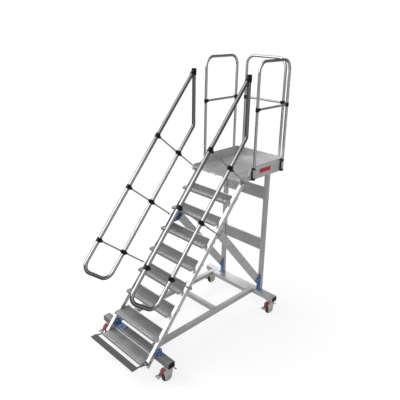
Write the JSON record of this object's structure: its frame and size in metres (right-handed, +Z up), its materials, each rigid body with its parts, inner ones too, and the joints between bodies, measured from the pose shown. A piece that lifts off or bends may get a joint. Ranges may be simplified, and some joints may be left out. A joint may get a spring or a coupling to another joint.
{
  "type": "rolling warehouse ladder",
  "caption": "Rolling warehouse ladder with inclined treads, looped handrails, a guarded platform, rear uprights with struts and a square-tube base on braked swivel castors.",
  "frame": {"origin": "on the floor, at the middle of the overall width and depth", "axes": "+Z up, +Y from the foot of the flight towards the platform, +X to the climber's right"},
  "size_m": [1.118, 2.2899, 3.018],
  "materials": {
    "mill_aluminium": "satin",
    "polished_tube": "polished",
    "tread_aluminium": "satin",
    "painted_blue": "semi-gloss",
    "painted_grey": "satin",
    "red_lever": "semi-gloss",
    "black_plastic": "matt",
    "grey_hub": "satin",
    "grey_rubber": "matt",
    "zinc_steel": "satin"
  },
  "bodies": {
    "frame": {"beam_end_caps": "black_plastic", "castor_plates": "zinc_steel", "cross_plates": "mill_aluminium", "foot_bar_pins": "zinc_steel", "front_beam": "mill_aluminium", "guard_connectors": "black_plastic", "guard_mid_bars": "polished_tube", "handrail_bars": "mill_aluminium", "handrail_clamps": "black_plastic", "handrail_corners": "black_plastic", "hoop_sockets": "black_plastic", "left_guard_hoop": "polished_tube", "left_handrail": "polished_tube", "left_stringer": "mill_aluminium", "mid_cross_rail": "mill_aluminium", "platform_deck": "mill_aluminium", "rear_beam": "mill_aluminium", "rear_cross_rail": "mill_aluminium", "rear_guard_hoop": "polished_tube", "rear_toe_board": "mill_aluminium", "right_guard_hoop": "polished_tube", "right_handrail": "polished_tube", "right_stringer": "mill_aluminium", "side_rails": "mill_aluminium", "side_toe_boards": "mill_aluminium", "stringer_brackets": "painted_blue", "strut_feet": "painted_blue", "strut_top_plates": "painted_blue", "struts": "mill_aluminium", "tread_1": "tread_aluminium", "tread_2": "tread_aluminium", "tread_3": "tread_aluminium", "tread_4": "tread_aluminium", "tread_5": "tread_aluminium", "tread_6": "tread_aluminium", "tread_7": "tread_aluminium", "tread_8": "tread_aluminium", "tread_bolts": "zinc_steel", "uprights": "mill_aluminium"},
    "foot_pedal": {"foot_bar": "painted_grey"},
    "front_left_swivel": {"front_left_fork": "zinc_steel", "front_left_axle": "zinc_steel"},
    "front_left_wheel": {"front_left_hub": "grey_hub", "front_left_tyre": "grey_rubber"},
    "front_left_brake": {"front_left_brake_pedal": "red_lever"},
    "front_right_swivel": {"front_right_fork": "zinc_steel", "front_right_axle": "zinc_steel"},
    "front_right_wheel": {"front_right_hub": "grey_hub", "front_right_tyre": "grey_rubber"},
    "front_right_brake": {"front_right_brake_pedal": "red_lever"},
    "rear_left_swivel": {"rear_left_fork": "zinc_steel", "rear_left_axle": "zinc_steel"},
    "rear_left_wheel": {"rear_left_hub": "grey_hub", "rear_left_tyre": "grey_rubber"},
    "rear_left_brake": {"rear_left_brake_pedal": "red_lever"},
    "rear_right_swivel": {"rear_right_fork": "zinc_steel", "rear_right_axle": "zinc_steel"},
    "rear_right_wheel": {"rear_right_hub": "grey_hub", "rear_right_tyre": "grey_rubber"},
    "rear_right_brake": {"rear_right_brake_pedal": "red_lever"}
  },
  "joints": [
    {"name": "foot_bar_hinge", "type": "hinge", "parent": "frame", "child": "foot_pedal", "pos_m": [0, -0.941, 0.1785], "axis": [1, 0, 0], "range_deg": [0, 4], "stiffness_Nm_per_rad": 60, "springref_deg": -2.86},
    {"name": "front_left_swivel_turn", "type": "hinge", "parent": "frame", "child": "front_left_swivel", "pos_m": [-0.495, -0.81, 0.163], "axis": [0, 0, 1], "continuous": true},
    {"name": "front_left_wheel_spin", "type": "hinge", "parent": "front_left_swivel", "child": "front_left_wheel", "pos_m": [-0.495, -0.822, 0.0625], "axis": [1, 0, 0], "continuous": true},
    {"name": "front_left_brake_tip", "type": "hinge", "parent": "front_left_swivel", "child": "front_left_brake", "pos_m": [-0.495, -0.874, 0.139], "axis": [1, 0, 0], "range_deg": [0, 6]},
    {"name": "front_right_swivel_turn", "type": "hinge", "parent": "frame", "child": "front_right_swivel", "pos_m": [0.495, -0.81, 0.163], "axis": [0, 0, 1], "continuous": true},
    {"name": "front_right_wheel_spin", "type": "hinge", "parent": "front_right_swivel", "child": "front_right_wheel", "pos_m": [0.495, -0.822, 0.0625], "axis": [1, 0, 0], "continuous": true},
    {"name": "front_right_brake_tip", "type": "hinge", "parent": "front_right_swivel", "child": "front_right_brake", "pos_m": [0.495, -0.874, 0.139], "axis": [1, 0, 0], "range_deg": [0, 6]},
    {"name": "rear_left_swivel_turn", "type": "hinge", "parent": "frame", "child": "rear_left_swivel", "pos_m": [-0.495, 0.857, 0.163], "axis": [0, 0, 1], "continuous": true},
    {"name": "rear_left_wheel_spin", "type": "hinge", "parent": "rear_left_swivel", "child": "rear_left_wheel", "pos_m": [-0.495, 0.845, 0.0625], "axis": [1, 0, 0], "continuous": true},
    {"name": "rear_left_brake_tip", "type": "hinge", "parent": "rear_left_swivel", "child": "rear_left_brake", "pos_m": [-0.495, 0.793, 0.139], "axis": [1, 0, 0], "range_deg": [0, 6]},
    {"name": "rear_right_swivel_turn", "type": "hinge", "parent": "frame", "child": "rear_right_swivel", "pos_m": [0.495, 0.857, 0.163], "axis": [0, 0, 1], "continuous": true},
    {"name": "rear_right_wheel_spin", "type": "hinge", "parent": "rear_right_swivel", "child": "rear_right_wheel", "pos_m": [0.495, 0.845, 0.0625], "axis": [1, 0, 0], "continuous": true},
    {"name": "rear_right_brake_tip", "type": "hinge", "parent": "rear_right_swivel", "child": "rear_right_brake", "pos_m": [0.495, 0.793, 0.139], "axis": [1, 0, 0], "range_deg": [0, 6]}
  ]
}
